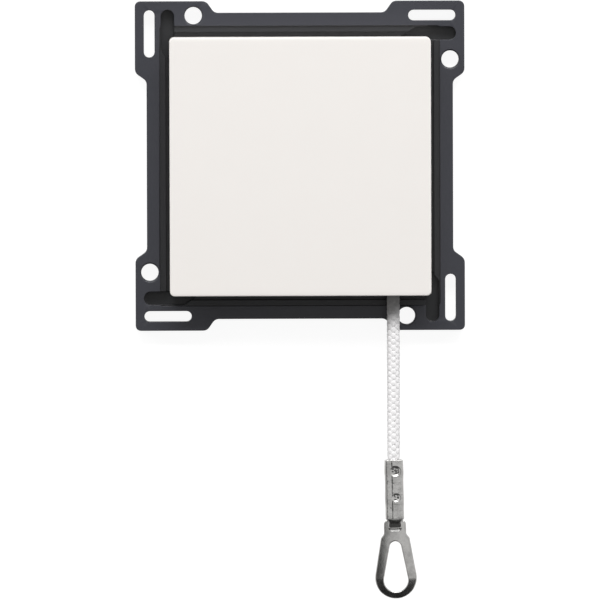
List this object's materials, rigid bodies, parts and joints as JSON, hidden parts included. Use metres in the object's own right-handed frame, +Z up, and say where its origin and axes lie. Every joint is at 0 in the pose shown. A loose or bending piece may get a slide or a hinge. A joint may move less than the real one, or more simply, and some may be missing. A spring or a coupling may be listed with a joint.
{
  "type": "pull cord switch",
  "caption": "Flush wall switch worked by a hanging braided cord with a crimped clamp and a teardrop pull ring; square eared frame plate, plain cover and a ratchet mechanism behind it.",
  "frame": {"origin": "centre of the frame plate on the wall plane, which is the plate's back face", "axes": "+Y into the wall, -Y to the front, +Z up, +X to the right seen from the front"},
  "size_m": [0.071, 0.0325, 0.1289],
  "materials": {
    "plate_plastic": "satin",
    "cover_plastic": "satin",
    "cord_braid": "braided",
    "nickel_plate": "nickel plated",
    "acetal": "moulded",
    "red_acetal": "moulded",
    "steel": "zinc plated",
    "housing_plastic": "moulded",
    "brass": "bright",
    "silver": "bright"
  },
  "bodies": {
    "base": {"frame_plate": "plate_plastic", "cover": "cover_plastic", "switch_housing": "housing_plastic", "mechanism_lid": "housing_plastic", "pivot_pin": "steel", "pin_clip": "steel", "detent_spring": "steel", "return_spring": "steel", "arm_pin": "steel", "contact_spring": "steel", "line_terminal": "brass", "common_terminal": "brass", "fixed_contact": "silver", "line_terminal_screw": "steel", "common_terminal_screw": "steel", "housing_screw_top": "steel", "housing_screw_bottom": "steel", "lid_screw_top": "steel", "lid_screw_bottom": "steel"},
    "lever": {"pull_lever": "acetal", "cord_lead": "cord_braid", "cord_knot": "cord_braid", "pawl_pin": "steel", "pawl_spring": "steel"},
    "pawl": {"pawl": "steel"},
    "rotor": {"ratchet_wheel": "acetal", "cam": "red_acetal"},
    "contact": {"contact_arm": "brass", "moving_contact": "silver"},
    "cord": {"cord": "cord_braid", "cord_clamp": "nickel_plate"},
    "ring": {"pull_ring": "nickel_plate"}
  },
  "joints": [
    {"name": "cord_pull", "type": "slide", "parent": "base", "child": "cord", "axis": [0, 0, -1], "range_m": [0, 0.00838], "stiffness_N_per_m": 900, "springref_m": -0.006},
    {"name": "lever_turn", "type": "hinge", "parent": "base", "child": "lever", "pos_m": [0.004, 0, 0.003], "axis": [0, 1, 0], "range_deg": [0, 30], "deforming": ["return_spring"]},
    {"name": "ratchet_turn", "type": "hinge", "parent": "base", "child": "rotor", "pos_m": [0.004, 0, 0.003], "axis": [0, 1, 0], "range_deg": [0, 30], "deforming": ["detent_spring"]},
    {"name": "contact_close", "type": "hinge", "parent": "base", "child": "contact", "pos_m": [-0.004, 0, -0.01], "axis": [0, -1, 0], "range_deg": [0, 5.75], "deforming": ["contact_spring"]},
    {"name": "pawl_lift", "type": "hinge", "parent": "lever", "child": "pawl", "pos_m": [-0.00339, 0, 0.01246], "axis": [0, -1, 0], "range_deg": [0, 12], "stiffness_Nm_per_rad": 0.004, "springref_deg": -17.19, "deforming": ["pawl_spring"]},
    {"name": "ring_swing", "type": "hinge", "parent": "cord", "child": "ring", "pos_m": [0.02024, -0.00485, -0.077], "axis": [0.9998, 0, 0.0175], "range_deg": [-70, 17]}
  ],
  "couplings": [
    {"joint": "lever_turn", "follows": "cord_pull", "rad_per_m": 62.5},
    {"joint": "ratchet_turn", "follows": "cord_pull", "rad_per_m": 62.5},
    {"joint": "contact_close", "follows": "cord_pull", "rad_per_m": 11.937}
  ]
}
